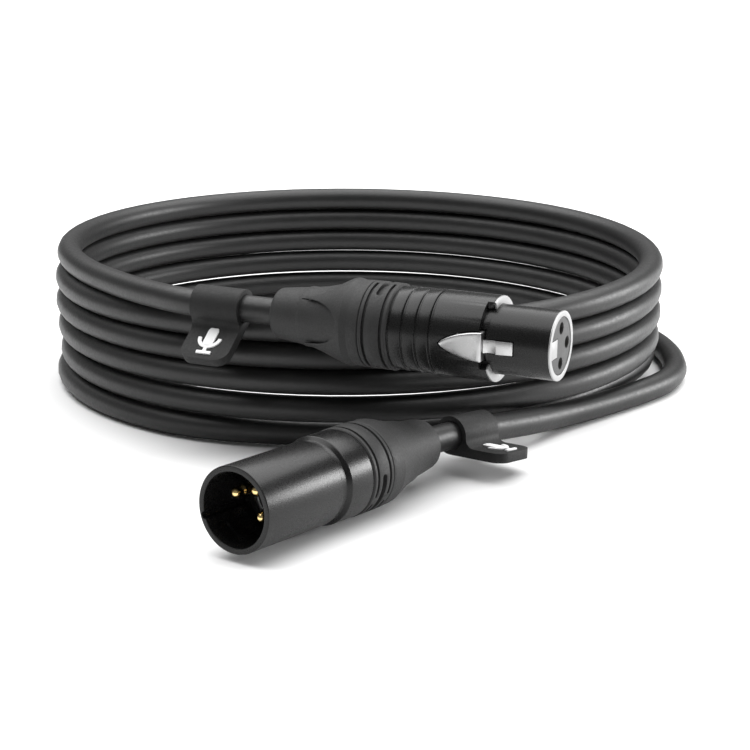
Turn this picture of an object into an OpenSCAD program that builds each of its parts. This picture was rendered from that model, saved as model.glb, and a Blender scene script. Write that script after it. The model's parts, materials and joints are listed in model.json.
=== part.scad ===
// Three-metre microphone cable, coiled for storage: a stacked round coil of round cable,
// a three-contact female connector at one end and a three-pin male connector at the other,
// each with a soft marker tag round the cable behind its boot.
// Millimetres, +Z up, standing on z = 0.

/* [Cable] */
// Diameter of the cable's jacket
cable_d = 6.5; // [5.8:0.1:6.6]
// Radius of the coil, to the middle of the cable
coil_r = 79.9; // [79:0.1:80.2]
// Height of the middle of the coil's top turn
coil_top_z = 35.8; // [34:0.1:36]
// Diameter of each wire inside the cable
wire_d = 1.4; // [1:0.1:1.6]

/* [Contacts] */
// Radius of the circle that the three contacts lie on
contact_circle_r = 4.05; // [3.9:0.05:4.2]
// Radius of a male pin
pin_r = 1.19; // [1.1:0.01:1.19]
// Radius of the bore in a female contact
socket_r = 1.22; // [1.21:0.01:1.25]
// Radius of the entry holes in the female face
entry_r = 1.4; // [1.3:0.05:1.5]

/* [Female connector] */
// Outer radius of the nose that enters the mating shell
nose_r = 8.0; // [7.9:0.05:8.05]
// Length of the nose in front of the shoulder
nose_len = 14.4; // [14:0.1:15]
// Outer radius of the shell
female_shell_r = 9.9; // [9.8:0.05:10]
// Length from the front face to the back of the shell
female_shell_len = 38.6; // [38:0.1:40]
// Length from the front face to the tip of the boot
female_len = 70.5; // [70:0.5:72]
// Half width of the latch lever at its front
lever_half_w = 3.4; // [3:0.1:3.5]
// Length of the latch lever's push plate
lever_len = 10.4; // [10:0.1:10.6]

/* [Male connector] */
// Outer radius of the barrel
barrel_r = 9.5; // [9.4:0.05:9.6]
// Radius of the barrel's mouth
mouth_r = 8.2; // [8.15:0.01:8.25]
// Depth of the mouth, down to the insert
mouth_depth = 14.2; // [14:0.1:15]
// Depth of the pin tips below the rim
pin_recess = 4.0; // [3.5:0.1:4.5]
// Length of the shell
male_shell_len = 35.7; // [35.5:0.1:36]
// Length from the rim to the tip of the boot
male_len = 67.6; // [67:0.1:68.5]

/* [Boots] */
// Outer radius of the bushing between shell and boot
bushing_r = 10.15; // [10:0.05:10.2]
// Length of the bushing's visible band
bushing_len = 7.2; // [7:0.1:8]

/* [Tags] */
// Length of a tag's band along the cable
tag_len = 12.6; // [11:0.1:13]
// Wall of the band round the cable
tag_wall = 1.3; // [1:0.05:1.5]
// Thickness of the flap
flap_t = 2.3; // [2:0.1:2.6]
// Reach of the flap from the middle of the cable
flap_reach = 15; // [13:0.5:16]

/* [Hidden] */

// Round surfaces
$fn = 96;

// Middle of the coil in the object's own frame, which has its origin under the whole object
coil_x = -3.6;
coil_y = 37.7;

// Female connector: middle of its front face from the coil's middle, heading and rise of its
// axis towards the cable. Its latch faces out from the coil.
female_face = [45.9, -115.3, 35.8];
female_heading = 156.1;
female_rise = 0.8;

// Male connector: middle of its rim from the coil's middle, heading and rise of its axis
male_rim = [-25, -158, 11.5];
male_heading = 53.5;
male_rise = -1.7;
// Turn of the male contacts about the axis, measured from the level side
male_key_turn = -60;
// Turn of the keyway in the mouth's wall
male_keyway_turn = -18;
// The cable behind the male boot: where it starts to droop, its heading and fall, and along it
// where the tag's band starts and the straight cable ends
male_bend_z = 73.5;
male_cable_heading = 49.5;
male_cable_fall = 5;
male_tag_z = 5.3;
male_straight_z = 20;

// Along the female axis, where the tag's band starts and the straight cable ends
female_tag_z = 79.3;
female_straight_z = 94;
// Turn of each flap about the cable
female_flap_turn = -35;
male_flap_turn = 178;

cable_r = cable_d / 2;
fit_gap = 0.05;
jacket_bore_r = cable_r + fit_gap;
wall_r = 6.65;
insert_r = 6.6;
back_bore_r = 8.3;
female_insert_len = 21.7;
male_insert_len = 7.6;
jacket_start = 33;
male_jacket_start = 31.5;
cup_end = 26;
shank_r = 1.6;
tag_r = cable_r + fit_gap + tag_wall;

// Latch: its pivot is across the shell, level with the lever's narrow end
pivot_x = 8.2;
pivot_z = 21.5;
pivot_r = 0.6;
lever_front_z = 15.4;
lever_clear = 0.35;

// The cable from the coil's top turn to the female connector's straight end, from the coil's
// middle
lead_route = [
  [-79.5, 0, 35.8], [-78.5, -12, 35.9], [-75.2, -24.5, 36], [-69.5, -38, 36.1],
  [-61.5, -51.5, 36.3], [-51.5, -65, 36.6]
];

// The cable from the coil's bottom turn, round the back on the floor, out past the right side,
// under the front turns and up to the male connector's straight end
tail_route = [
  [-80.5, 0, 3.25], [-78.5, 21, 3.25], [-71, 41, 3.25], [-58.5, 58.5, 3.25],
  [-42, 72.5, 3.25], [-22, 81.5, 3.25], [0, 85, 3.25], [22, 82.5, 3.25],
  [43, 74.5, 3.25], [61, 61, 3.25], [75, 43.5, 3.25], [84, 22.5, 3.25],
  [87.2, 6, 3.25], [87.2, -6.5, 3.25], [86, -15, 3.25], [82, -25.5, 3.25],
  [74.5, -35.5, 3.25], [62.5, -48.5, 3.4], [51, -61, 4.2], [42, -72.5, 5.7]
];

jacket_black = [0.1, 0.1, 0.1];
metal_black = [0.07, 0.07, 0.075];
rubber_grey = [0.16, 0.16, 0.16];
nickel = [0.72, 0.72, 0.72];
gold = [0.83, 0.66, 0.3];

// ---- places ----

module from_coil() translate([coil_x, coil_y, 0]) children();

// Along a connector: z from its front towards the cable, y up, x level
module on_axis(at, heading, rise)
  from_coil() translate(at) rotate([0, -rise, heading]) rotate([90, 0, 90]) children();

module on_female() on_axis(female_face, female_heading, female_rise) children();

module on_male() on_axis(male_rim, male_heading, male_rise) children();

function along(at, heading, rise, dist) =
  at + dist * [cos(rise) * cos(heading), cos(rise) * sin(heading), sin(rise)];

male_bend = along(male_rim, male_heading, male_rise, male_bend_z);
female_straight_end = along(female_face, female_heading, female_rise, female_straight_z);
male_straight_end = along(male_bend, male_cable_heading, -male_cable_fall, male_straight_z);

module on_male_cable() on_axis(male_bend, male_cable_heading, -male_cable_fall) children();

// ---- shared shapes ----

module ring(r0, r1, z0, z1)
  rotate_extrude() translate([r0, z0]) square([r1 - r0, z1 - z0]);

// Part of a ring, spread degrees wide about the x axis
module arc_cut(r0, r1, z0, z1, spread)
  rotate([0, 0, -spread / 2])
    rotate_extrude(angle = spread) translate([r0, z0]) square([r1 - r0, z1 - z0]);

// Straight round bar between two points
module bar(a, b, r) {
  d = b - a;
  len = norm(d);
  translate(a) rotate([0, acos(d[2] / len), atan2(d[1], d[0])]) cylinder(r = r, h = len);
}

function contact_at(i, turn) = [
  contact_circle_r * cos(turn + 90 * i),
  contact_circle_r * sin(turn + 90 * i),
  0
];

// Closed tube swept along a list of points that never climbs steeply
function unit(v) = v / norm(v);
function heading_at(p, i) = unit(p[min(i + 1, len(p) - 1)] - p[max(i - 1, 0)]);
function ring_at(c, t, r, n) =
  let (side = unit(cross(t, [0, 0, 1])), up = cross(side, t))
  [for (k = [0:n - 1]) c + r * (cos(360 * k / n) * side + sin(360 * k / n) * up)];

module tube(p, r, sides = 10) {
  rings = [for (i = [0:len(p) - 1]) each ring_at(p[i], heading_at(p, i), r, sides)];
  last = (len(p) - 1) * sides;
  walls = [
    for (i = [0:len(p) - 2], k = [0:sides - 1])
    [i * sides + k, i * sides + (k + 1) % sides, (i + 1) * sides + (k + 1) % sides, (i + 1) * sides + k]
  ];
  ends = [[for (k = [sides - 1:-1:0]) k], [for (k = [0:sides - 1]) last + k]];
  polyhedron(points = rings, faces = concat(walls, ends));
}

// ---- female connector ----

// The lever's outline, blunt at the front and narrowing to a rounded tip, grown by extra
module lever_outline(extra) {
  steps = 12;
  function half_w(t) = (lever_half_w + extra) * pow(1 - pow(t, 1.8), 0.75);
  side = [for (i = [0:steps]) [-extra + i / steps * (lever_len + 2 * extra), half_w(i / steps)]];
  polygon(concat(side, [for (i = [steps - 1:-1:0]) [side[i][0], -side[i][1]]]));
}

// The outline stood up so that it lies along the connector and is cut or raised along x
module lever_block(extra, x0, x1)
  translate([x0, 0, lever_front_z]) rotate([0, 90, 0]) mirror([1, 0, 0])
    linear_extrude(height = x1 - x0) lever_outline(extra);

module female_shell() {
  color(metal_black) on_female() {
    difference() {
      union() {
        ring(wall_r, nose_r, 0, nose_len + 1);
        ring(wall_r, female_shell_r, nose_len, female_insert_len + 0.3);
        ring(back_bore_r, female_shell_r, female_insert_len, female_shell_len);
      }
      // three stepped grooves in front of the bushing
      for (i = [0:2]) ring(female_shell_r - 0.5, female_shell_r + 1, 29.2 + 3.2 * i, 30.4 + 3.2 * i);
      // shoulder cut back beside the latch
      rotate([0, 0, 17.5]) arc_cut(nose_r + 0.06, female_shell_r + 1, nose_len - 1, nose_len + 0.9, 101);
      // opening for the lever, window for its catch, and its pivot hole
      lever_block(lever_clear, 5, 12);
      translate([5, -1.9, 8.3]) cube([6, 3.8, 8]);
      translate([pivot_x, 0, pivot_z]) rotate([90, 0, 0]) cylinder(r = pivot_r + 0.02, h = 7.4, center = true);
    }
    // key that fills the slot in the insert
    translate([2.6, -2.1, 0]) cube([4.3, 4.2, 7.6]);
  }
}

module female_insert() {
  color([0.22, 0.22, 0.22]) on_female() difference() {
    translate([0, 0, 0.15]) cylinder(r = insert_r, h = female_insert_len);
    for (i = [1:3]) translate(contact_at(i, 0)) {
      cylinder(r = entry_r, h = 30, center = true);
      translate([0, 0, 2.2]) cylinder(r = 1.75, h = 30);
    }
    translate([2.45, -2.25, -1]) cube([6, 4.5, 8.75]);
    // room for the latch under the shell
    translate([5.3, -2.2, 7]) cube([3, 4.4, 20]);
  }
}

// One socket with its solder cup behind
module female_contact(i) {
  color(gold) on_female() translate(contact_at(i, 0)) difference() {
    translate([0, 0, 2.2]) cylinder(r = 1.7, h = cup_end - 2.2);
    translate([0, 0, 1]) cylinder(r = socket_r, h = 16);
    translate([0, 0, 22.5]) cylinder(r = wire_d / 2 + 0.1, h = 10);
  }
}
module female_contact_1() { female_contact(1); }
module female_contact_2() { female_contact(2); }
module female_contact_3() { female_contact(3); }

// Push plate, catch that hooks in the mating shell, and the eye that it turns on
module latch_lever() {
  color(nickel) on_female() difference() {
    union() {
      intersection() {
        lever_block(0, 8.5, 11);
        cylinder(r = 10.4, h = 40);
      }
      rotate([90, 0, 0]) linear_extrude(height = 3, center = true)
        polygon([[6.9, 8.7], [8.0, 8.7], [8.6, 12.5], [7.8, 12.5], [7.8, 14.6], [8.6, 15.4],
                 [8.6, 18], [7.4, 16.5], [6.9, 14]]);
      translate([pivot_x, 0, pivot_z]) rotate([90, 0, 0]) cylinder(r = 1.2, h = 3.6, center = true);
    }
    translate([pivot_x, 0, pivot_z]) rotate([90, 0, 0]) cylinder(r = pivot_r + 0.06, h = 6, center = true);
  }
}

module latch_pin() {
  color(nickel) on_female() translate([pivot_x, 0, pivot_z]) rotate([90, 0, 0])
    cylinder(r = pivot_r, h = 7, center = true);
}

// Leaf that lies on the insert's flat and bears on the lever's front
module latch_spring() {
  color([0.6, 0.6, 0.6]) on_female() rotate([90, 0, 0]) linear_extrude(height = 2, center = true)
    polygon([[5.3, 21.6], [5.3, 18.4], [7.3, 16.7], [7.5, 16.9], [5.6, 18.6], [5.6, 21.6]]);
}

// ---- parts behind each shell ----

// Clamp that grips the jacket, split across by two slots
module chuck(z0) {
  color([0.85, 0.85, 0.83]) difference() {
    ring(jacket_bore_r, 7, z0, z0 + 12);
    for (a = [0, 90]) rotate([0, 0, a]) translate([-8, -0.4, z0 + 3]) cube([16, 0.8, 12]);
  }
}

// Screwed band with long narrow slots on two sides and wide ones between
module bushing(z0, key_turn) {
  z1 = z0 + bushing_len;
  color(rubber_grey) difference() {
    union() {
      ring(7.2, bushing_r, z0, z1);
      ring(7.2, back_bore_r - 0.1, z0 - 4, z0 + 1);
    }
    for (a = [key_turn, key_turn + 180]) rotate([0, 0, a]) {
      for (z = [z0 + 1, z1 - 1.8]) arc_cut(bushing_r - 0.5, 12, z, z + 0.8, 166);
      rotate([0, 0, 90]) arc_cut(bushing_r - 1, 12, z0 + bushing_len / 2 - 0.8, z0 + bushing_len / 2 + 0.8, 70);
    }
  }
}

// Flexible sleeve from the bushing down to the cable: radii at fractions of its length
module boot(z0, z1) {
  span = z1 - z0;
  outline = [
    [bushing_r, 0], [bushing_r, 0.06], [9.2, 0.25], [8.1, 0.42], [7.3, 0.58], [6.7, 0.75],
    [6.1, 0.93], [4.9, 1]
  ];
  inner = [[jacket_bore_r, 1], [jacket_bore_r, 0.45], [7.2, 0.2], [7.2, 0]];
  color(rubber_grey) rotate_extrude()
    polygon([for (p = concat(outline, inner)) [p[0], z0 + p[1] * span]]);
}

module female_chuck() { on_female() chuck(jacket_start + 1); }
module female_bushing() { on_female() bushing(female_shell_len, 0); }
module female_boot() { on_female() boot(female_shell_len + bushing_len, female_len); }
module male_chuck() { on_male() chuck(male_jacket_start + 1); }
module male_bushing() { on_male() bushing(male_shell_len, male_key_turn); }
module male_boot() { on_male() boot(male_shell_len + bushing_len, male_len); }

// Straight jacket through the chuck, the boot and the tag
module female_cable_end() {
  color(jacket_black) on_female() translate([0, 0, jacket_start])
    cylinder(r = cable_r, h = female_straight_z - jacket_start);
}

module male_cable_end() {
  color(jacket_black) on_male() translate([0, 0, male_jacket_start])
    cylinder(r = cable_r, h = male_bend_z - male_jacket_start);
}

// The cable droops where it leaves the male boot
module male_cable_neck() {
  start = cable_r * sin(male_cable_fall);
  color(jacket_black) on_male_cable() translate([0, 0, start]) cylinder(r = cable_r, h = male_straight_z - start);
}

// Insulated wire from just off the jacket's end to a solder bead behind one contact, and its
// bare end in the contact's cup
module wire(i, turn, z0, z1) {
  from = contact_at(i, turn) * 0.25 + [0, 0, z1 - 0.6];
  bead = contact_at(i, turn) + [0, 0, z0 + 1];
  bar(from, bead, wire_d / 2);
  translate(bead) sphere(r = wire_d / 2 + 0.15);
  bar(bead - [0, 0, 3.4], bead, wire_d / 2 - 0.1);
}

module female_wire_red() { color([0.6, 0.1, 0.08]) on_female() wire(1, 0, cup_end, jacket_start); }
module female_wire_white() { color([0.85, 0.85, 0.82]) on_female() wire(2, 0, cup_end, jacket_start); }
module female_wire_shield() { color([0.7, 0.5, 0.35]) on_female() wire(3, 0, cup_end, jacket_start); }

module male_wire(i) { on_male() wire(i, male_key_turn, cup_end - 2, male_jacket_start); }
module male_wire_red() { color([0.6, 0.1, 0.08]) male_wire(3); }
module male_wire_white() { color([0.85, 0.85, 0.82]) male_wire(2); }
module male_wire_shield() { color([0.7, 0.5, 0.35]) male_wire(1); }

// ---- male connector ----

module male_shell() {
  color(metal_black) on_male() difference() {
    union() {
      ring(mouth_r, barrel_r, 0, 25.2);
      ring(mouth_r, barrel_r - 0.3, 24.5, 27.6);
      ring(back_bore_r, barrel_r + 0.5, 27.3, male_shell_len);
    }
    // keyway along the mouth, and the recess that holds the mating catch
    rotate([0, 0, male_keyway_turn]) translate([mouth_r, 0, -1]) cylinder(r = 0.85, h = mouth_depth + 1);
    rotate([0, 0, male_key_turn]) arc_cut(mouth_r - 1, mouth_r + 0.6, 1.8, 6, 30);
  }
}

module male_insert() {
  color([0.05, 0.05, 0.05]) on_male() difference() {
    union() {
      translate([0, 0, mouth_depth]) cylinder(r = mouth_r - 0.05, h = male_insert_len);
      translate([0, 0, mouth_depth - 0.6]) cylinder(r = 0.7, h = 1);
    }
    for (i = [1:3]) translate(contact_at(i, male_key_turn)) cylinder(r = shank_r + 0.03, h = 60);
  }
}

// Round-tipped pin on a thicker shank that fills the insert's hole, with its solder cup behind
module male_pin(i) {
  color(gold) on_male() translate(contact_at(i, male_key_turn)) difference() {
    union() {
      translate([0, 0, pin_recess + pin_r]) sphere(r = pin_r);
      translate([0, 0, pin_recess + pin_r]) cylinder(r = pin_r, h = mouth_depth - pin_recess - pin_r + 1);
      translate([0, 0, mouth_depth]) cylinder(r = shank_r, h = cup_end - 2 - mouth_depth);
    }
    translate([0, 0, 20.4]) cylinder(r = wire_d / 2 + 0.1, h = 10);
  }
}
module male_pin_1() { male_pin(1); }
module male_pin_2() { male_pin(2); }
module male_pin_3() { male_pin(3); }

// ---- cable ----

// Outer shape of the stacked turns. The front left quarter is one turn lower, because the top
// turn leaves the stack there.
module coil_wall(top_z, angle)
  rotate_extrude(angle = angle, $fn = 192) {
    translate([coil_r - cable_r, 0]) square([cable_d, top_z]);
    translate([coil_r, top_z]) circle(r = cable_r, $fn = 48);
  }

module cable_coil() {
  color(jacket_black) from_coil() {
    rotate([0, 0, -90]) coil_wall(coil_top_z, 270);
    rotate([0, 0, 180]) coil_wall(coil_top_z - 5.3, 90);
  }
}

module cable_lead() {
  color(jacket_black) from_coil() tube(concat(lead_route, [female_straight_end]), cable_r);
}

module cable_tail() {
  color(jacket_black) from_coil() tube(concat(tail_route, [male_straight_end]), cable_r);
}

// ---- tags ----

// Band round the cable with a flap on the side away from up, rounded at its tip
module tag(up) {
  corner_r = 3.2;
  color([0.12, 0.12, 0.12]) {
    difference() {
      union() {
        cylinder(r = tag_r, h = tag_len);
        translate([0, -up * tag_r, 0]) rotate([-90, 0, 0]) mirror([0, 1, 0])
          mirror([0, 0, up < 0 ? 1 : 0]) linear_extrude(height = flap_t) {
            square([flap_reach - corner_r, tag_len]);
            translate([0, corner_r]) square([flap_reach, tag_len - 2 * corner_r]);
            for (z = [corner_r, tag_len - corner_r])
              translate([flap_reach - corner_r, z]) circle(r = corner_r);
          }
      }
      translate([0, 0, -1]) cylinder(r = jacket_bore_r, h = tag_len + 2);
    }
  }
}

// Plain raised picture of a microphone: head, yoke, stem and foot
module microphone_picture() {
  translate([-1.1, -1]) square([2.2, 2.6]);
  translate([0, 1.6]) circle(r = 1.1);
  translate([0, -1]) circle(r = 1.1);
  difference() {
    circle(r = 2.6);
    circle(r = 1.8);
    translate([-4, 0]) square([8, 4]);
  }
  translate([-0.35, -3.6]) square([0.7, 1.4]);
  translate([-1.6, -4]) square([3.2, 0.7]);
}

// On the flap's open face, with its foot towards the flap's tip
module emblem(up) {
  color([0.95, 0.95, 0.95]) translate([flap_reach - 6.4, up * (flap_t - tag_r), tag_len / 2])
    rotate([-90, 0, 0]) mirror([0, 0, up < 0 ? 1 : 0]) rotate([0, 0, 90])
      linear_extrude(height = 0.5) microphone_picture();
}

module on_female_tag()
  on_female() translate([0, 0, female_tag_z]) rotate([0, 0, female_flap_turn]) children();
module on_male_tag()
  on_male_cable() translate([0, 0, male_tag_z]) rotate([0, 0, male_flap_turn]) children();

module female_tag() { on_female_tag() tag(1); }
module female_tag_emblem() { on_female_tag() emblem(1); }
module male_tag() { on_male_tag() tag(-1); }
module male_tag_emblem() { on_male_tag() emblem(-1); }

female_shell();
female_insert();
female_contact_1();
female_contact_2();
female_contact_3();
latch_lever();
latch_pin();
latch_spring();
female_chuck();
female_bushing();
female_boot();
female_cable_end();
female_wire_red();
female_wire_white();
female_wire_shield();
male_shell();
male_insert();
male_pin_1();
male_pin_2();
male_pin_3();
male_chuck();
male_bushing();
male_boot();
male_cable_end();
male_cable_neck();
male_wire_red();
male_wire_white();
male_wire_shield();
cable_coil();
cable_lead();
cable_tail();
female_tag();
female_tag_emblem();
male_tag();
male_tag_emblem();
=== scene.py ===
import json
import math

import bmesh
import bpy
from mathutils import Matrix, Vector

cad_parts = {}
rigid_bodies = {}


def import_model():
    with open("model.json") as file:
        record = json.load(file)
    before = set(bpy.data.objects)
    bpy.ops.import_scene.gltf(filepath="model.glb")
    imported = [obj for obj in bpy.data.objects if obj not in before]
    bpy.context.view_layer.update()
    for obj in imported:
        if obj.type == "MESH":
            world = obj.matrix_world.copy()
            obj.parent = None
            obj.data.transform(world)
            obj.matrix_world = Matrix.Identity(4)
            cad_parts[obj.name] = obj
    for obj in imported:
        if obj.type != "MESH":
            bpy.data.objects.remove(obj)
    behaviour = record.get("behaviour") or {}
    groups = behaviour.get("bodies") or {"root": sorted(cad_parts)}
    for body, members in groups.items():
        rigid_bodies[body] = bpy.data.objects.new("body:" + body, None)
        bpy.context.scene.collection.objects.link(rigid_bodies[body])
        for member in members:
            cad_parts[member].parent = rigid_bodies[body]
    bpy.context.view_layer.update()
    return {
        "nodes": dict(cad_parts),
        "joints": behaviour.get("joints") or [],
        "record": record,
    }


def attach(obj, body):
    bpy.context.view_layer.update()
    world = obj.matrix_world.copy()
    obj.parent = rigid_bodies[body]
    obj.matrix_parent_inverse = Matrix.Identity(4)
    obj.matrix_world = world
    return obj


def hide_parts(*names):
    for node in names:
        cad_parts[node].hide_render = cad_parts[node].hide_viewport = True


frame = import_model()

# Coiled microphone cable: the looks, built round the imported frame. Pieces are modelled in
# millimetres in their connector's own axes (z from its open end towards the cable) and then
# placed in the frame, which is in metres.
MM = 0.001

# ---- camera ----

LOOK_AT = Vector((0.00068, 0.0377, -0.00166))
CAMERA_DISTANCE = 0.59
CAMERA_TILT = math.radians(14.93)
CAMERA_LENS = 100.8

camera = bpy.data.objects.new("camera", bpy.data.cameras.new("camera"))
camera.data.lens = CAMERA_LENS
camera.data.sensor_width = 36
camera.data.clip_start = 0.01
towards_camera = Vector((0, -math.cos(CAMERA_TILT), math.sin(CAMERA_TILT)))
camera.location = LOOK_AT + CAMERA_DISTANCE * towards_camera
camera.rotation_euler = (math.radians(90) - CAMERA_TILT, 0, 0)
bpy.context.collection.objects.link(camera)
bpy.context.scene.camera = camera
bpy.context.scene.view_settings.view_transform = "Standard"

# ---- places of the connectors and tags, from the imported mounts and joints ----

MOUNTS = {m["name"]: m for m in frame["record"]["mounts"]}
JOINTS = {j["name"]: j for j in frame["joints"]}

# Turns about the connector's or the cable's axis, in degrees
MALE_KEY_TURN = -60
MALE_KEYWAY_TURN = -18
FEMALE_FLAP_TURN = -35
MALE_FLAP_TURN = 178


def place(origin, along, up=(0, 0, 1)):
    """Matrix from local millimetres (x level, y up, z along) to the frame."""
    z = Vector(along).normalized()
    y = Vector(up)
    y = (y - y.dot(z) * z).normalized()
    m = Matrix((y.cross(z), y, z)).transposed().to_4x4()
    m.translation = Vector(origin)
    return m @ Matrix.Scale(MM, 4)


def turned(degrees):
    return Matrix.Rotation(math.radians(degrees), 4, "Z")


nose = MOUNTS["female_nose"]
FEMALE = place(nose["pos_m"], -Vector(nose["axis"]), JOINTS["latch_press"]["axis"])
mouth = MOUNTS["male_mouth"]
MALE = place(mouth["pos_m"], -Vector(mouth["axis"]))
female_turn = JOINTS["female_tag_turn"]
male_turn = JOINTS["male_tag_turn"]
FEMALE_TAG = place(female_turn["pos_m"], female_turn["axis"]) @ turned(FEMALE_FLAP_TURN)
MALE_TAG = place(male_turn["pos_m"], -Vector(male_turn["axis"])) @ turned(MALE_FLAP_TURN)


def at(matrix, x, y, z):
    """A point of a connector's own axes, in millimetres, in the frame."""
    return matrix @ Vector((x, y, z))


# ---- materials ----

def node_material(name):
    """New material with its nodes, links and surface shader."""
    mat = bpy.data.materials.new(name)
    mat.use_nodes = True
    nodes = mat.node_tree.nodes
    return mat, nodes, mat.node_tree.links, nodes["Principled BSDF"]


def noise(nodes, links, scale, detail=3.0, stretch=None):
    """Noise in the object's own metres, optionally stretched along one axis."""
    coords = nodes.new("ShaderNodeTexCoord")
    out = coords.outputs["Object"]
    if stretch:
        mapping = nodes.new("ShaderNodeMapping")
        mapping.inputs["Scale"].default_value = stretch
        links.new(out, mapping.inputs["Vector"])
        out = mapping.outputs["Vector"]
    tex = nodes.new("ShaderNodeTexNoise")
    tex.inputs["Scale"].default_value = scale
    tex.inputs["Detail"].default_value = detail
    links.new(out, tex.inputs["Vector"])
    return tex.outputs["Fac"]


def ramp(nodes, links, value, low, high):
    """Colour between low and high, driven by the middle of the value's range."""
    node = nodes.new("ShaderNodeValToRGB")
    for element, position, colour in zip(node.color_ramp.elements, (0.35, 0.65), (low, high)):
        element.position = position
        element.color = (*colour, 1)
    links.new(value, node.inputs["Fac"])
    return node.outputs["Color"]


def spread(nodes, links, value, low, high):
    """Number between low and high, driven by the middle of the value's range."""
    node = nodes.new("ShaderNodeMapRange")
    node.inputs["From Min"].default_value = 0.3
    node.inputs["From Max"].default_value = 0.7
    node.inputs["To Min"].default_value = low
    node.inputs["To Max"].default_value = high
    links.new(value, node.inputs["Value"])
    return node.outputs["Result"]


def finish(name, low, high, rough, grain, depth, metal=0.0, mottle=60.0, specular=0.5,
           stretch=None):
    """Moulded, painted or metal surface: mottled colour, uneven roughness and a fine grain.
    grain is the grain's size and depth its height, in metres."""
    mat, nodes, links, shader = node_material(name)
    shader.inputs["Metallic"].default_value = metal
    shader.inputs["Specular IOR Level"].default_value = specular
    cloud = noise(nodes, links, mottle)
    links.new(ramp(nodes, links, cloud, low, high), shader.inputs["Base Color"])
    fine = noise(nodes, links, 1 / grain, 4.0, stretch)
    links.new(spread(nodes, links, fine, *rough), shader.inputs["Roughness"])
    bump = nodes.new("ShaderNodeBump")
    bump.inputs["Strength"].default_value = 1.0
    bump.inputs["Distance"].default_value = depth
    links.new(fine, bump.inputs["Height"])
    links.new(bump.outputs["Normal"], shader.inputs["Normal"])
    return mat


def grey(v):
    return (v, v, v)


JACKET = finish("jacket_rubber", grey(0.0075), grey(0.011), (0.40, 0.52), 0.0007, 0.00004,
                mottle=45, specular=0.45)
SHELL = finish("satin_black_metal", grey(0.005), grey(0.008), (0.24, 0.33), 0.00028, 0.000015,
               specular=0.29)
BOOT = finish("boot_polymer", grey(0.015), grey(0.020), (0.5, 0.7), 0.00035, 0.00006,
              mottle=90, specular=0.4)
NICKEL = finish("satin_nickel", grey(0.44), grey(0.50), (0.26, 0.36), 0.00022, 0.00001,
                metal=1.0, mottle=300)
NICKEL_FACE = finish("machined_nickel", grey(0.33), grey(0.38), (0.38, 0.48), 0.0003, 0.00001,
                     metal=0.8)
GOLD = finish("gold_plate", (0.80, 0.58, 0.24), (0.90, 0.68, 0.32), (0.12, 0.2), 0.0004, 0.00001,
              metal=1.0)
FACE_GREY = finish("insert_grey", grey(0.036), grey(0.044), (0.5, 0.62), 0.0003, 0.00002)
FACE_BLACK = finish("insert_black", grey(0.014), grey(0.02), (0.32, 0.45), 0.0005, 0.00002)
TAG = finish("tag_rubber", grey(0.010), grey(0.014), (0.55, 0.7), 0.00045, 0.00005,
             mottle=120, specular=0.3)
PRINT = finish("emblem_white", grey(0.80), grey(0.86), (0.5, 0.65), 0.0003, 0.00002)
NATURAL = finish("chuck_natural", (0.78, 0.78, 0.74), (0.84, 0.83, 0.79), (0.4, 0.5), 0.0006,
                 0.00002)
STEEL = finish("spring_steel", grey(0.5), grey(0.58), (0.25, 0.4), 0.0004, 0.00001,
               metal=1.0, stretch=(1, 6, 1))
RED = finish("wire_red", (0.50, 0.03, 0.02), (0.62, 0.05, 0.03), (0.3, 0.4), 0.0006, 0.00001)
WHITE = finish("wire_white", (0.78, 0.78, 0.74), (0.85, 0.85, 0.8), (0.3, 0.4), 0.0006, 0.00001)
COPPER = finish("wire_shield", (0.62, 0.34, 0.2), (0.74, 0.44, 0.28), (0.25, 0.4), 0.0003,
                0.00006, metal=1.0)

# Surface of each slot, for the CAD nodes that are shown as they are
CAD_FINISH = {
    "contact": GOLD, "latch": NICKEL, "spring": STEEL, "chuck": NATURAL, "wire_red": RED,
    "wire_white": WHITE, "wire_shield": COPPER, "insert": FACE_GREY, "insert_black": FACE_BLACK,
    "shell": SHELL, "boot": BOOT, "jacket": JACKET, "tag": TAG, "emblem": PRINT,
}
for part in frame["record"]["subparts"]:
    mesh = frame["nodes"][part["node"]].data
    mesh.materials.clear()
    mesh.materials.append(CAD_FINISH[part["material_slot"]])

# ---- the cable ----

CABLE_R = 3.25
COIL_MIDDLE = Vector((-3.6, 37.7, 0))
COIL_R = 79.9
COIL_TOP_Z = 35.8
COIL_BOTTOM_Z = 3.25
TURNS = 5
PER_TURN = 72

# The cable runs along each connector's axis through these distances from its open end. The
# first one of the female connector and the last one of the male are where the jacket ends.
FEMALE_STOPS = (33, 50, 66, 80, 94)
MALE_STOPS = (70, 58, 46, 31.5)

# Lead to the female connector and tail to the male one, from the coil's middle, as in part.scad
LEAD_ROUTE = [
    (-79.5, 0, 35.8), (-78.5, -12, 35.9), (-75.2, -24.5, 36), (-69.5, -38, 36.1),
    (-61.5, -51.5, 36.3), (-51.5, -65, 36.6),
]
TAIL_ROUTE = [
    (-80.5, 0, 3.25), (-78.5, 21, 3.25), (-71, 41, 3.25), (-58.5, 58.5, 3.25),
    (-42, 72.5, 3.25), (-22, 81.5, 3.25), (0, 85, 3.25), (22, 82.5, 3.25),
    (43, 74.5, 3.25), (61, 61, 3.25), (75, 43.5, 3.25), (84, 22.5, 3.25),
    (87.2, 6, 3.25), (87.2, -6.5, 3.25), (86, -15, 3.25), (82, -25.5, 3.25),
    (74.5, -35.5, 3.25), (62.5, -48.5, 3.4), (51, -61, 4.2), (42, -72.5, 5.7),
]
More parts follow.
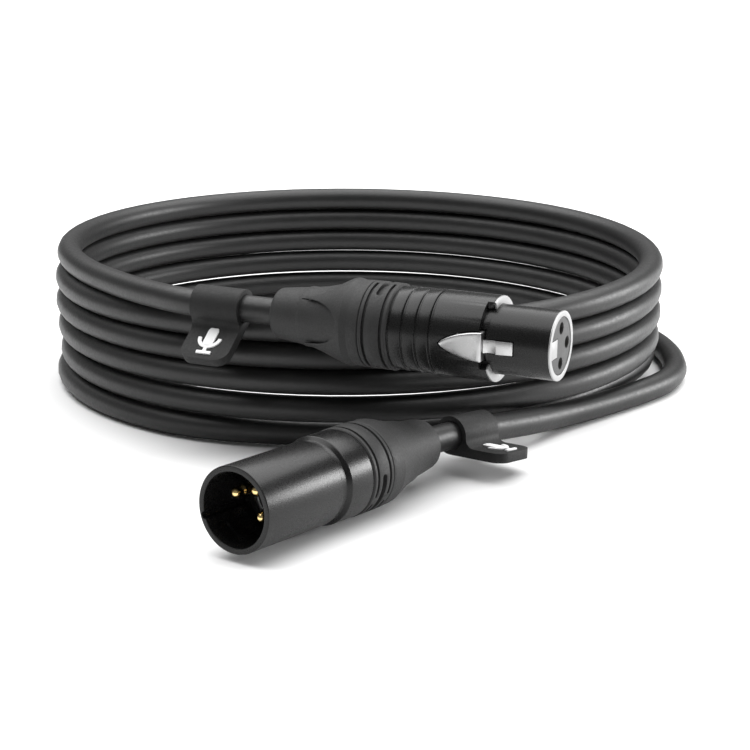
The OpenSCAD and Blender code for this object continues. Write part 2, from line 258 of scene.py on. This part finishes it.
# How far a turn lies out from the coil's radius and up from its even climb, by turns from the
# top. Low down the cable dips and swings inwards, clear of the tail that leaves beside it.
WANDER = [
    (0, -0.4, 0), (0.2, 0, 0), (0.5, 0.2, 0), (1, 0.2, 0), (1.5, 0.1, 0), (2, 0.3, 0),
    (2.5, 0, 0), (3, -0.1, 0), (3.5, -0.3, -0.2), (3.75, -0.4, -0.5), (4, -0.6, -0.3),
    (4.3, -0.3, -0.4), (4.5, -1.1, -0.6), (4.6, -6.9, -0.8), (4.66, -7.4, -1),
    (4.74, -5.2, -1.1), (4.86, -0.6, -0.7), (5, 0.6, 0),
]


def wander(s):
    """Smooth value between the rows of WANDER."""
    for (s0, *a), (s1, *b) in zip(WANDER, WANDER[1:]):
        if s <= s1:
            t = (s - s0) / (s1 - s0)
            t = t * t * (3 - 2 * t)
            return [p + (q - p) * t for p, q in zip(a, b)]
    return WANDER[-1][1:]


def coil_points():
    """The stacked turns from the top down, clockwise from the left, without their two ends."""
    points = []
    for i in range(1, TURNS * PER_TURN):
        s = i / PER_TURN
        out, lift = wander(s)
        angle = math.pi - 2 * math.pi * s
        r = COIL_R + out
        z = COIL_TOP_Z + (COIL_BOTTOM_Z - COIL_TOP_Z) * s / TURNS + lift
        points.append(Vector((r * math.cos(angle), r * math.sin(angle), z)))
    return points


def smoothed(points, steps=6):
    """Curve through the points, as closely spaced points."""
    out = []
    ends = [2 * points[0] - points[1]] + points + [2 * points[-1] - points[-2]]
    for a, b, c, d in zip(ends, ends[1:], ends[2:], ends[3:]):
        for k in range(steps):
            t = k / steps
            out.append(0.5 * (2 * b + (c - a) * t + (2 * a - 5 * b + 4 * c - d) * t * t
                              + (3 * b - a - 3 * c + d) * t ** 3))
    return out + [points[-1]]


def cable_points():
    """The whole cable from inside the female connector to inside the male one, in metres."""
    def in_frame(points):
        return [(COIL_MIDDLE + Vector(p)) * MM for p in points]
    female = [at(FEMALE, 0, 0, z) for z in FEMALE_STOPS]
    start = smoothed(female + in_frame(LEAD_ROUTE[::-1]))
    coil = [(COIL_MIDDLE + p) * MM for p in coil_points()]
    tag_middle = at(MALE_TAG, 0, 0, 0)
    tail = in_frame(TAIL_ROUTE) + [tag_middle] + [at(MALE, 0, 0, z) for z in MALE_STOPS]
    return start + coil + smoothed(tail)


def make_cable():
    curve = bpy.data.curves.new("cable", "CURVE")
    curve.dimensions = "3D"
    curve.bevel_depth = CABLE_R * MM
    curve.bevel_resolution = 10
    curve.use_fill_caps = True
    points = cable_points()
    spline = curve.splines.new("POLY")
    spline.points.add(len(points) - 1)
    for target, p in zip(spline.points, points):
        target.co = (*p, 1)
    spline.use_smooth = True
    cable = bpy.data.objects.new("cable", curve)
    bpy.context.collection.objects.link(cable)
    curve.materials.append(JACKET)
    return cable


cable = make_cable()
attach(cable, "cable")
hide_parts("cable_coil", "cable_lead", "cable_tail", "female_cable_end", "male_cable_end",
            "male_cable_neck")

# ---- mesh tools, in millimetres ----

RING_STEPS = 144
FINE_RING_STEPS = 192


def as_object(name, bm):
    """New object made of the mesh being built, which is used up."""
    bmesh.ops.recalc_face_normals(bm, faces=bm.faces)
    mesh = bpy.data.meshes.new(name)
    bm.to_mesh(mesh)
    bm.free()
    obj = bpy.data.objects.new(name, mesh)
    bpy.context.collection.objects.link(obj)
    return obj


def rounded(outline, radius, steps=3):
    """Closed outline with its corners rounded. A point's third number is its own radius."""
    out = []
    for i, point in enumerate(outline):
        r = point[2] if len(point) > 2 else radius
        p = Vector(point[:2])
        a = Vector(outline[i - 1][:2]) - p
        b = Vector(outline[(i + 1) % len(outline)][:2]) - p
        half = a.angle(b) / 2
        nearly_straight = half > math.radians(84)
        if r == 0 or nearly_straight:
            out.append(tuple(p))
            continue
        reach = min(r / math.tan(half), a.length * 0.48, b.length * 0.48)
        r = reach * math.tan(half)
        middle = p + (a.normalized() + b.normalized()).normalized() * (r / math.sin(half))
        first = p + a.normalized() * reach - middle
        last = p + b.normalized() * reach - middle
        for k in range(steps + 1):
            out.append(tuple(middle + first.lerp(last, k / steps).normalized() * r))
    return out


def lathe(name, outline, steps=RING_STEPS):
    """Closed outline of (radius, z) turned about z."""
    bm = bmesh.new()
    rings = []
    for k in range(steps):
        a = 2 * math.pi * k / steps
        rings.append([bm.verts.new((r * math.cos(a), r * math.sin(a), z)) for r, z in outline])
    n = len(outline)
    for k in range(steps):
        here, there = rings[k], rings[(k + 1) % steps]
        for i in range(n):
            bm.faces.new((here[i], here[(i + 1) % n], there[(i + 1) % n], there[i]))
    bmesh.ops.remove_doubles(bm, verts=bm.verts, dist=1e-5)
    return as_object(name, bm)


def prism(name, outline, low, high, matrix=None):
    """Closed outline of (x, y) raised from z = low to z = high."""
    bm = bmesh.new()
    bottom = [bm.verts.new((x, y, low)) for x, y in outline]
    top = [bm.verts.new((x, y, high)) for x, y in outline]
    n = len(outline)
    bm.faces.new(bottom)
    bm.faces.new(top)
    for i in range(n):
        bm.faces.new((bottom[i], bottom[(i + 1) % n], top[(i + 1) % n], top[i]))
    if matrix:
        bmesh.ops.transform(bm, matrix=matrix, verts=bm.verts)
    return as_object(name, bm)


def arc_slot(name, r0, r1, z0, z1, middle, spread_deg, steps=24, cap=8):
    """Slot cutter bent round the axis, with round ends. Angles in degrees."""
    half = (z1 - z0) / 2
    z = (z0 + z1) / 2
    reach = math.radians(spread_deg) / 2
    end = half / r1
    low = [(-reach + 2 * reach * k / steps, -half) for k in range(steps + 1)]
    round_end = [(reach + end * math.sin(a), -half * math.cos(a))
                 for a in (math.pi * k / cap for k in range(1, cap))]
    outline = low + round_end + [(-a, -h) for a, h in low] + [(-a, -h) for a, h in round_end]
    turn = math.radians(middle)
    bm = bmesh.new()
    walls = [[bm.verts.new((r * math.cos(a + turn), r * math.sin(a + turn), z + h))
              for a, h in outline] for r in (r0, r1)]
    n = len(outline)
    last = 2 * steps + cap
    for i in range(n):
        bm.faces.new((walls[0][i], walls[0][(i + 1) % n], walls[1][(i + 1) % n], walls[1][i]))
    for wall in walls:
        for i in range(steps):
            bm.faces.new((wall[i], wall[i + 1], wall[last - i - 1], wall[last - i]))
        bm.faces.new(wall[steps:steps + cap + 1])
        bm.faces.new(wall[last:] + wall[:1])
    return as_object(name, bm)


def combined(target, others, operation="DIFFERENCE"):
    """Applies booleans to target and removes the others."""
    for other in others:
        mod = target.modifiers.new("cut", "BOOLEAN")
        mod.operation = operation
        mod.solver = "EXACT"
        mod.object = other
    bake(target)
    for other in others:
        bpy.data.objects.remove(other)
    return target


def bake(obj):
    """Applies all of an object's modifiers."""
    bpy.context.view_layer.update()
    deps = bpy.context.evaluated_depsgraph_get()
    mesh = bpy.data.meshes.new_from_object(obj.evaluated_get(deps))
    obj.modifiers.clear()
    obj.data = mesh


def bevelled(obj, width, segments=2, angle=35):
    """Bevels the edges that are sharper than angle, in degrees."""
    mod = obj.modifiers.new("bevel", "BEVEL")
    mod.width = width
    mod.segments = segments
    mod.limit_method = "ANGLE"
    mod.angle_limit = math.radians(angle)
    bake(obj)
    return obj


def settle(obj, matrix, body, material, replaces=(), sharp=32):
    obj.data.transform(matrix)
    if matrix.determinant() < 0:
        obj.data.flip_normals()
    obj.data.materials.clear()
    obj.data.materials.append(material)
    obj.data.shade_smooth()
    obj.data.set_sharp_from_angle(angle=math.radians(sharp))
    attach(obj, body)
    if replaces:
        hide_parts(*replaces)
    return obj


# Local axes for a prism raised along x: its outline is (z, y)
ALONG_X = Matrix(((0, 0, 1, 0), (0, 1, 0, 0), (1, 0, 0, 0), (0, 0, 0, 1)))
# Local axes for a prism raised along y: its outline is (x, z)
ALONG_Y = Matrix(((1, 0, 0, 0), (0, 0, 1, 0), (0, 1, 0, 0), (0, 0, 0, 1)))


def box(name, low, high):
    """Block between two opposite corners."""
    outline = [(low[0], low[1]), (high[0], low[1]), (high[0], high[1]), (low[0], high[1])]
    return prism(name, outline, low[2], high[2])


def disc(name, r, low, high, x=0, y=0, steps=48):
    """Round rod along z, from low to high, about (x, y)."""
    outline = [(x + r * math.cos(a), y + r * math.sin(a))
               for a in (2 * math.pi * k / steps for k in range(steps))]
    return prism(name, outline, low, high)


CONTACT_R = 4.05
CONTACTS = (1, 2, 3)


def contact_xy(i, turn):
    """Place of contact i on its circle, a quarter turn from the one before."""
    a = math.radians(turn + 90 * i)
    return CONTACT_R * math.cos(a), CONTACT_R * math.sin(a)


# ---- female connector ----

NOSE_R = 8.0
NOSE_LEN = 14.4
WALL_R = 6.65
SHELL_R = 9.9
SHELL_LEN = 38.6
BACK_BORE_R = 8.3
# Depth at which the block's bore widens to the back bore
BLOCK_BORE_END = 22
# The bare metal of the rim and the shoulder, in front of the black coat
BARE = 0.35
# Raised bands, between grooves, at the shell's back
GROOVE_R = 9.45
BAND_STARTS = (28.4, 31.8, 35.2)
BAND_LEN = 3.0
# The slot across the nose that the catch stands out of
WINDOW_HALF_W = 1.7
WINDOW_FRONT = 8.45
WINDOW_BACK = 16.4
LEVER_FRONT = 15.4
LEVER_LEN = 10.4
LEVER_HALF_W = 3.4
PLATE_TOP = 10.25
PLATE_LOW = 7.3
DIMPLE_R = 2.05
DIMPLE_DEPTH = 0.25
# The lever's pivot: its height above the axis and its distance from the face
PIVOT_Y = 8.2
PIVOT_Z = 21.5


def lever_outline(extra=0.0, steps=16):
    """Blunt at the front and narrowing to a rounded tip, as (z, y)."""
    along = [k / steps for k in range(steps + 1)]
    half = [((LEVER_HALF_W + extra) * (1 - t ** 1.8) ** 0.75) for t in along]
    zs = [LEVER_FRONT - extra + t * (LEVER_LEN + 2 * extra) for t in along]
    return list(zip(zs, half)) + [(z, -h) for z, h in zip(zs[-2::-1], half[-2::-1])]


def notch_wedge():
    """The part of the shoulder that is cut back, from below the latch to well above it."""
    far = 20
    edge = [(far * math.cos(a), far * math.sin(a)) for a in map(math.radians, (-33, 0, 35, 68))]
    return prism("notch_wedge", [(0, 0)] + edge, NOSE_LEN - 2, NOSE_LEN + 3)


def make_female_shell():
    bands = []
    for z0 in BAND_STARTS:
        bands += [(GROOVE_R, z0, 0.1), (SHELL_R - 0.05, z0 + 0.12, 0.3),
                  (SHELL_R - 0.25, z0 + BAND_LEN - 0.05, 0.15), (GROOVE_R, z0 + BAND_LEN, 0.1)]
    body_end = BAND_STARTS[0] - 0.4
    outline = [(WALL_R, BARE), (NOSE_R, BARE, 0.05), (NOSE_R, NOSE_LEN + BARE, 0.1),
               (SHELL_R, NOSE_LEN + BARE, 0.25), (SHELL_R, body_end - 0.1, 0.45),
               (GROOVE_R, body_end, 0.1)] + bands
    outline += [(GROOVE_R, SHELL_LEN - 0.2, 0.05), (SHELL_R - 0.3, SHELL_LEN - 0.2, 0.1),
                (SHELL_R - 0.3, SHELL_LEN), (BACK_BORE_R, SHELL_LEN),
                (BACK_BORE_R, BLOCK_BORE_END), (WALL_R, BLOCK_BORE_END)]
    shell = lathe("female_shell_body", rounded(outline, 0.05, 4))
    cuts = [
        prism("lever_opening", lever_outline(0.3), 5, 12, ALONG_X),
        box("catch_window", (5, -WINDOW_HALF_W, WINDOW_FRONT), (11, WINDOW_HALF_W, WINDOW_BACK)),
    ]
    inner, front, back = NOSE_R + 0.02, NOSE_LEN - 1, NOSE_LEN + 1.9
    notch = lathe("shoulder_notch", [(inner, front), (12, front), (12, back), (inner, back)])
    cuts.append(combined(notch, [notch_wedge()], "INTERSECT"))
    combined(shell, cuts)
    bevelled(shell, 0.08)
    settle(shell, FEMALE, "cable", SHELL, ["female_shell"])


def make_female_rim():
    """Bare metal of the shell: its rim, the key inside it and the shoulder's front face."""
    inner, outer, back = WALL_R + 0.01, NOSE_R - 0.02, BARE + 0.01
    rim = lathe("female_rim", rounded([(inner, 0.0, 0.05), (outer, 0.0, 0.12), (outer, back),
                                       (inner, back)], 0.02))
    settle(rim, FEMALE, "cable", NICKEL_FACE)
    key = box("female_key", (2.6, -2.1, 0.02), (WALL_R + 0.4, 2.1, 7.6))
    bevelled(key, 0.1)
    settle(key, FEMALE, "cable", NICKEL_FACE)
    inner, outer, back = NOSE_R + 0.01, SHELL_R - 0.02, NOSE_LEN + BARE + 0.01
    shoulder = lathe("female_shoulder", rounded([(inner, NOSE_LEN), (outer, NOSE_LEN, 0.15),
                                                 (outer, back), (inner, back)], 0.03))
    combined(shoulder, [notch_wedge()])
    settle(shoulder, FEMALE, "cable", NICKEL_FACE)


def make_female_insert():
    r, front, back = WALL_R - 0.05, 0.12, BLOCK_BORE_END - 0.15
    insert = lathe("female_contact_block", rounded([(0, front), (r, front, 0.2), (r, back),
                                                    (0, back)], 0))
    entry_r, hole_r, entry_depth = 1.4, 1.75, 2.3
    cuts = [disc("entry_%d" % i, entry_r, -1, entry_depth, *contact_xy(i, 0)) for i in CONTACTS]
    cuts += [disc("contact_hole_%d" % i, hole_r, entry_depth - 0.1, 30, *contact_xy(i, 0))
             for i in CONTACTS]
    cuts.append(box("key_slot", (2.45, -2.25, -1), (8.5, 2.25, 7.75)))
    cuts.append(box("latch_room", (5.3, -2.2, 7), (8.3, 2.2, 27)))
    combined(insert, cuts)
    bevelled(insert, 0.07)
    settle(insert, FEMALE, "cable", FACE_GREY, ["female_insert"])


def make_latch():
    """Pointed plate, the arm with its sloping catch, and the eye round the pivot pin."""
    plate = prism("latch_plate", lever_outline(), PLATE_LOW, PLATE_TOP, ALONG_X)
    bevelled(plate, 0.4, 3, 40)
    dimple = disc("dimple", DIMPLE_R, 0, 2, steps=64)
    to_plate = Matrix.Translation((PLATE_TOP - DIMPLE_DEPTH, 0, LEVER_FRONT + 3.5))
    dimple.data.transform(to_plate @ ALONG_X)
    combined(plate, [dimple])
    bevelled(plate, 0.07, 2, 60)
    settle(plate, FEMALE, "latch", NICKEL, ["latch_lever"])
    profile = [(6.9, 8.7, 0.15), (8.05, 8.7, 0.15), (8.62, 12.5, 0.12), (7.8, 12.7, 0.1),
               (7.8, 14.7, 0.1), (8.7, 15.45, 0.1), (8.7, 18), (7.4, 16.5), (6.9, 14)]
    arm = prism("latch_catch", rounded(profile, 0.1), -1.5, 1.5, ALONG_Y)
    bevelled(arm, 0.1, 2, 50)
    settle(arm, FEMALE, "latch", NICKEL)
    bore, r, half = 0.66, 1.2, 1.8
    eye = lathe("latch_eye", rounded([(bore, -half), (r, -half), (r, half), (bore, half)], 0.1), 48)
    on_pivot = Matrix.Translation((PIVOT_Y, 0, PIVOT_Z)) @ Matrix.Rotation(math.radians(90), 4, "X")
    eye.data.transform(on_pivot)
    settle(eye, FEMALE, "latch", NICKEL)


# ---- what is behind each shell ----

BUSHING_R = 10.15
BUSHING_LEN = 7.2
BUSHING_BORE_R = 7.2
# The bushing's front end reaches this far into the shell's back bore
BUSHING_NECK_R = 8.2
BUSHING_NECK_LEN = 4
SLOT_DEPTH = 0.7


def make_bushing(name, matrix, z0, key_turn, node):
    """Ring with two long slots round each half and one short wide slot between them."""
    z1 = z0 + BUSHING_LEN
    outline = [(BUSHING_BORE_R, z0 - BUSHING_NECK_LEN), (BUSHING_NECK_R, z0 - BUSHING_NECK_LEN),
               (BUSHING_NECK_R, z0), (BUSHING_R - 0.35, z0 + 0.02, 0.1),
               (BUSHING_R, z0 + 0.35, 0.15), (BUSHING_R, z1 - 0.3, 0.12),
               (BUSHING_R - 0.3, z1, 0.05), (BUSHING_BORE_R, z1)]
    band = lathe(name, rounded(outline, 0.05, 3))
    cuts = []
    for side in (0, 180):
        turn = key_turn + side
        for z in (z0 + 1.05, z1 - 1.8):
            cuts.append(arc_slot("slot", BUSHING_R - SLOT_DEPTH, 12, z, z + 0.75, turn, 166))
        cuts.append(arc_slot("slot", BUSHING_R - 1, 12, z0 + 2.8, z0 + 4.4, turn + 90, 62))
    combined(band, cuts)
    bevelled(band, 0.06, 2, 50)
    settle(band, matrix, "cable", BOOT, [node])


# Boot: radius by distance from the bushing, where nothing stands out of it
BOOT_LEN = 24.7
BOOT_PROFILE = [(10.1, 0, 0.3), (10.12, 1.2), (9.98, 2.8), (9.62, 4.4), (9.15, 6.2), (8.5, 8.2),
                (7.95, 10.2), (7.5, 12.2), (7.12, 14.4), (6.8, 17), (6.5, 19.8), (6.15, 22.4)]
# Its outer layer, by distance from the bushing. On the female side it ends in four fingers
# between round-ended pockets.
LAYER_START = 4.0
LAYER_END = 16.4
POCKET_APEX = 5.4
POCKET_LEN = 10.2
POCKET_HALF_W = 5.25


def boot_outline(z0, layer):
    """Outline with the outer layer standing out by layer, where there is one."""
    outer = [(r + (layer if LAYER_START < z < LAYER_END else 0), z0 + z, *corner)
             for r, z, *corner in BOOT_PROFILE]
    tip = z0 + BOOT_LEN
    end = outer[-1][0] - 0.3
    outer += [(end, tip - 0.2, 1.5), (CABLE_R + 0.15, tip, 0.2)]
    return ([(BUSHING_BORE_R, z0)] + outer
            + [(CABLE_R + 0.1, tip - 8), (BUSHING_BORE_R, z0 + 5)])


def pocket_cutter(z0, turn):
    """Round-ended pocket that widens towards the boot's tip until it meets the next one."""
    apex = z0 + POCKET_APEX
    edge = [(apex + POCKET_LEN * t ** 2.1, POCKET_HALF_W * math.sin(math.pi / 2 * t) ** 0.9)
            for t in (k / 16 for k in range(17))]
    edge.append((z0 + BOOT_LEN + 4, 6.5))
    outline = edge + [(z, -y) for z, y in edge[:0:-1]]
    cutter = prism("pocket", outline, 2, 14, turned(turn) @ ALONG_X)
    floor = [(r + (0 if z < LAYER_END else 0.3), z0 + z) for r, z, *_ in BOOT_PROFILE]
    floor = ([(0, z0 - 1), (floor[0][0], z0 - 1)] + floor
             + [(floor[-1][0] + 0.2, z0 + 31), (0, z0 + 31)])
    return combined(cutter, [lathe("pocket_floor", floor, FINE_RING_STEPS)])


def make_boot(name, matrix, z0, layer, pocket_turn, node):
    """Boot from z0. Its pockets, if any, stand at pocket_turn and at each quarter turn on."""
    boot = lathe(name, rounded(boot_outline(z0, layer), 0.5, 4), FINE_RING_STEPS)
    if pocket_turn is not None:
        combined(boot, [pocket_cutter(z0, pocket_turn + 90 * i) for i in range(4)])
        bevelled(boot, 0.06, 2, 40)
    settle(boot, matrix, "cable", BOOT, [node], sharp=45)


# ---- male connector ----

BARREL_R = 9.5
MOUTH_R = 8.2
MOUTH_DEPTH = 14.2
MALE_SHELL_LEN = 35.7
# Groove round the barrel, and the raised band behind it
BARREL_END = 25.0
MALE_GROOVE_R = 9.15
MALE_BAND_START = 27.7
MALE_BAND_R = 10.0
# Depth at which the mouth's bore widens to the back bore
MOUTH_BORE_END = 27.5
PIN_TIP = 4.0
PIN_R = 1.19


def make_male_shell():
    """Barrel with a groove and a back band, and a keyway and a catch recess in its mouth."""
    outline = [(MOUTH_R, 0.0, 0.18), (BARREL_R, 0.0, 0.22), (BARREL_R, BARREL_END, 0.35),
               (MALE_GROOVE_R, BARREL_END + 0.4, 0.1), (MALE_GROOVE_R, MALE_BAND_START - 0.8, 0.25),
               (MALE_BAND_R, MALE_BAND_START, 0.5), (MALE_BAND_R, MALE_SHELL_LEN - 0.5, 0.3),
               (MALE_BAND_R - 0.3, MALE_SHELL_LEN), (BACK_BORE_R, MALE_SHELL_LEN),
               (BACK_BORE_R, MOUTH_BORE_END), (MOUTH_R, MOUTH_BORE_END)]
    shell = lathe("male_shell_body", rounded(outline, 0.05, 4), FINE_RING_STEPS)
    groove = disc("keyway", 0.85, -1, MOUTH_DEPTH, MOUTH_R, 0)
    groove.data.transform(turned(MALE_KEYWAY_TURN))
    recess = arc_slot("catch_recess", MOUTH_R - 1, MOUTH_R + 0.6, 1.8, 6, MALE_KEY_TURN, 26)
    combined(shell, [groove, recess])
    bevelled(shell, 0.06, 2, 50)
    settle(shell, MALE, "cable", SHELL, ["male_shell"])


def make_male_insert():
    back = 21.8
    outline = [(0, MOUTH_DEPTH - 0.6), (0.75, MOUTH_DEPTH - 0.6, 0.25), (0.75, MOUTH_DEPTH, 0.1),
               (7.2, MOUTH_DEPTH, 0.1), (7.3, MOUTH_DEPTH + 0.5, 0.1),
               (8.15, MOUTH_DEPTH + 0.5, 0.1), (8.15, back), (0, back)]
    insert = lathe("male_contact_block", rounded(outline, 0))
    cuts = [disc("pin_hole_%d" % i, 1.33, 10, 30, *contact_xy(i, MALE_KEY_TURN)) for i in CONTACTS]
    combined(insert, cuts)
    settle(insert, MALE, "cable", FACE_BLACK, ["male_insert"])


def make_pin(i):
    """Pin with a round tip and a narrow neck behind it, hollow at its back for the wire."""
    neck_r, root_r, cup_r = PIN_R - 0.3, 1.3, 0.8
    outline = [(0, PIN_TIP)]
    outline += [(PIN_R * math.sin(a), PIN_TIP + PIN_R - PIN_R * math.cos(a))
                for a in (math.pi / 2 * k / 10 for k in range(1, 11))]
    outline += [(PIN_R, PIN_TIP + 1.7), (neck_r, PIN_TIP + 2.1), (neck_r, PIN_TIP + 2.6),
                (PIN_R, PIN_TIP + 3.0), (PIN_R, MOUTH_DEPTH), (root_r, MOUTH_DEPTH + 0.1),
                (root_r, 24), (cup_r, 24), (cup_r, 20.4), (0, 20.4)]
    pin = lathe("male_contact_%d" % i, outline, 48)
    x, y = contact_xy(i, MALE_KEY_TURN)
    pin.data.transform(Matrix.Translation((x, y, 0)))
    return settle(pin, MALE, "cable", GOLD, ["male_pin_%d" % i])


def make_ground_tab():
    """Metal strip that shows in the male block's face, beside the pins."""
    tab = arc_slot("ground_tab", 4.9, 6.0, MOUTH_DEPTH - 0.4, MOUTH_DEPTH + 0.3, -30, 30)
    bevelled(tab, 0.05, 2, 50)
    settle(tab, MALE, "cable", NICKEL)


# ---- tags ----

TAG_R = 4.6
TAG_BORE_R = 3.32
TAG_HALF = 6.3
FLAP_T = 2.3
FLAP_REACH = 15
FLAP_CORNER = 3.2


def tag_section():
    """Outline across the cable: a band, and a flap along its lower side with a hollow fillet."""
    fillet = 2.2
    top = -TAG_R + FLAP_T
    middle_y = top + fillet
    reach = math.sqrt((TAG_R + fillet) ** 2 - middle_y ** 2)
    touch = math.atan2(middle_y, reach)
    outline = [(FLAP_REACH, -TAG_R), (FLAP_REACH, top)]
    outline += [(reach + fillet * math.cos(a), middle_y + fillet * math.sin(a))
                for a in (-math.pi / 2 - (math.pi / 2 - touch) * k / 10 for k in range(11))]
    outline += [(TAG_R * math.cos(a), TAG_R * math.sin(a))
                for a in (touch + (math.radians(270) - touch) * k / 48 for k in range(1, 49))]
    return outline


def make_tag(name, matrix, side, body, node):
    """Tag whose flap lies on the given side (1 or -1) of the cable, with rounded flap corners."""
    section = [(x, y * side) for x, y in tag_section()]
    tag = prism(name, section, -TAG_HALF, TAG_HALF)
    far = 20
    corners = rounded([(-far, -TAG_HALF), (FLAP_REACH, -TAG_HALF, FLAP_CORNER),
                       (FLAP_REACH, TAG_HALF, FLAP_CORNER), (-far, TAG_HALF)], 0, 8)
    combined(tag, [prism("tag_corners", corners, -far, far, ALONG_Y)], "INTERSECT")
    combined(tag, [disc("tag_bore", TAG_BORE_R, -far, far, steps=96)])
    bevelled(tag, 0.3, 3, 40)
    settle(tag, matrix, body, TAG, [node], sharp=40)


EMBLEM_SCALE = 1.2


def microphone_parts():
    """Outlines of a plain microphone: its head, and its yoke with stem and foot."""
    r, top, bottom = 1.15, 1.7, -1
    outer, inner, stem = 2.6, 1.8, 0.38
    half_turn = [math.pi * k / 16 for k in range(17)]
    head = [(r * math.cos(a), top + r * math.sin(a)) for a in half_turn]
    head += [(r * math.cos(math.pi + a), bottom + r * math.sin(math.pi + a)) for a in half_turn]
    gap = math.asin(stem / outer)
    yoke = [(outer * math.cos(a), outer * math.sin(a))
            for a in (math.pi + (math.pi / 2 - gap) * k / 12 for k in range(13))]
    yoke += [(-stem, -3.4), (-1.6, -3.4), (-1.6, -4.1), (1.6, -4.1), (1.6, -3.4), (stem, -3.4)]
    yoke += [(outer * math.cos(a), outer * math.sin(a))
             for a in (1.5 * math.pi + gap + (math.pi / 2 - gap) * k / 12 for k in range(13))]
    yoke += [(inner * math.cos(a), inner * math.sin(a))
             for a in (2 * math.pi - math.pi * k / 24 for k in range(25))]
    return {"head": head, "yoke": yoke}


def make_emblem(name, matrix, side, body, node):
    """Raised on the flap's open face, with its foot towards the flap's tip."""
    lift = Matrix.Translation((FLAP_REACH - 6.4, side * (FLAP_T - TAG_R), 0))
    stand = lift @ Matrix.Rotation(math.radians(-90 * side), 4, "X") @ turned(90)
    for part, outline in microphone_parts().items():
        outline = [(EMBLEM_SCALE * x, EMBLEM_SCALE * y) for x, y in outline]
        piece = prism("%s_%s" % (name, part), outline, -0.2, 0.35, stand)
        bevelled(piece, 0.09, 2, 50)
        settle(piece, matrix, body, PRINT, [node] if part == "head" else ())


make_female_shell()
make_female_rim()
make_female_insert()
make_latch()
make_bushing("female_band", FEMALE, SHELL_LEN, 0, "female_bushing")
make_boot("female_sleeve", FEMALE, SHELL_LEN + BUSHING_LEN, 0.7, 4, "female_boot")
make_male_shell()
make_male_insert()
pins = [make_pin(i) for i in CONTACTS]
make_ground_tab()
make_bushing("male_band", MALE, MALE_SHELL_LEN, MALE_KEY_TURN, "male_bushing")
make_boot("male_sleeve", MALE, MALE_SHELL_LEN + BUSHING_LEN, 0.35, None, "male_boot")
make_tag("female_marker_tag", FEMALE_TAG, 1, "female_marker", "female_tag")
make_tag("male_marker_tag", MALE_TAG, -1, "male_marker", "male_tag")
make_emblem("female_emblem", FEMALE_TAG, 1, "female_marker", "female_tag_emblem")
make_emblem("male_emblem", MALE_TAG, -1, "male_marker", "male_tag_emblem")

# What the cable carries at its far end
on_far_end = [bpy.data.objects[n] for n in ("male_shell_body", "male_contact_block", "male_band",
                                            "male_sleeve", "ground_tab")]
on_far_end += pins + [frame["nodes"][n] for n in ("male_chuck", "male_wire_red", "male_wire_white",
                                                  "male_wire_shield")]

# ---- floor and light ----

def make_floor():
    """Plain pale floor, in metres."""
    bm = bmesh.new()
    bmesh.ops.create_grid(bm, x_segments=8, y_segments=8, size=4.0)
    floor = as_object("floor", bm)
    mat, nodes, links, shader = node_material("pale_floor")
    shader.inputs["Base Color"].default_value = (0.9, 0.9, 0.9, 1)
    shader.inputs["Roughness"].default_value = 0.9
    shader.inputs["Specular IOR Level"].default_value = 0.1
    floor.data.materials.append(mat)


def area_light(name, location, target, size, watts):
    """Rectangular light at location, aimed at target, in metres."""
    data = bpy.data.lights.new(name, "AREA")
    data.shape = "RECTANGLE"
    data.size, data.size_y = size
    data.energy = watts
    light = bpy.data.objects.new(name, data)
    light.location = location
    light.rotation_euler = (Vector(target) - Vector(location)).to_track_quat("-Z", "Y").to_euler()
    bpy.context.collection.objects.link(light)


make_floor()
area_light("overhead", location=(0, 0.5, 1.3), target=(0, 0.5, 0), size=(2.6, 2.2), watts=66)
area_light("right", location=(0.9, 0.2, 0.2), target=(0, -0.05, 0.03), size=(0.5, 0.26), watts=7.5)
world = bpy.data.worlds.new("studio")
bpy.context.scene.world = world
world.use_nodes = True
background = world.node_tree.nodes["Background"]
background.inputs["Color"].default_value = (1, 1, 1, 1)
background.inputs["Strength"].default_value = 0.2
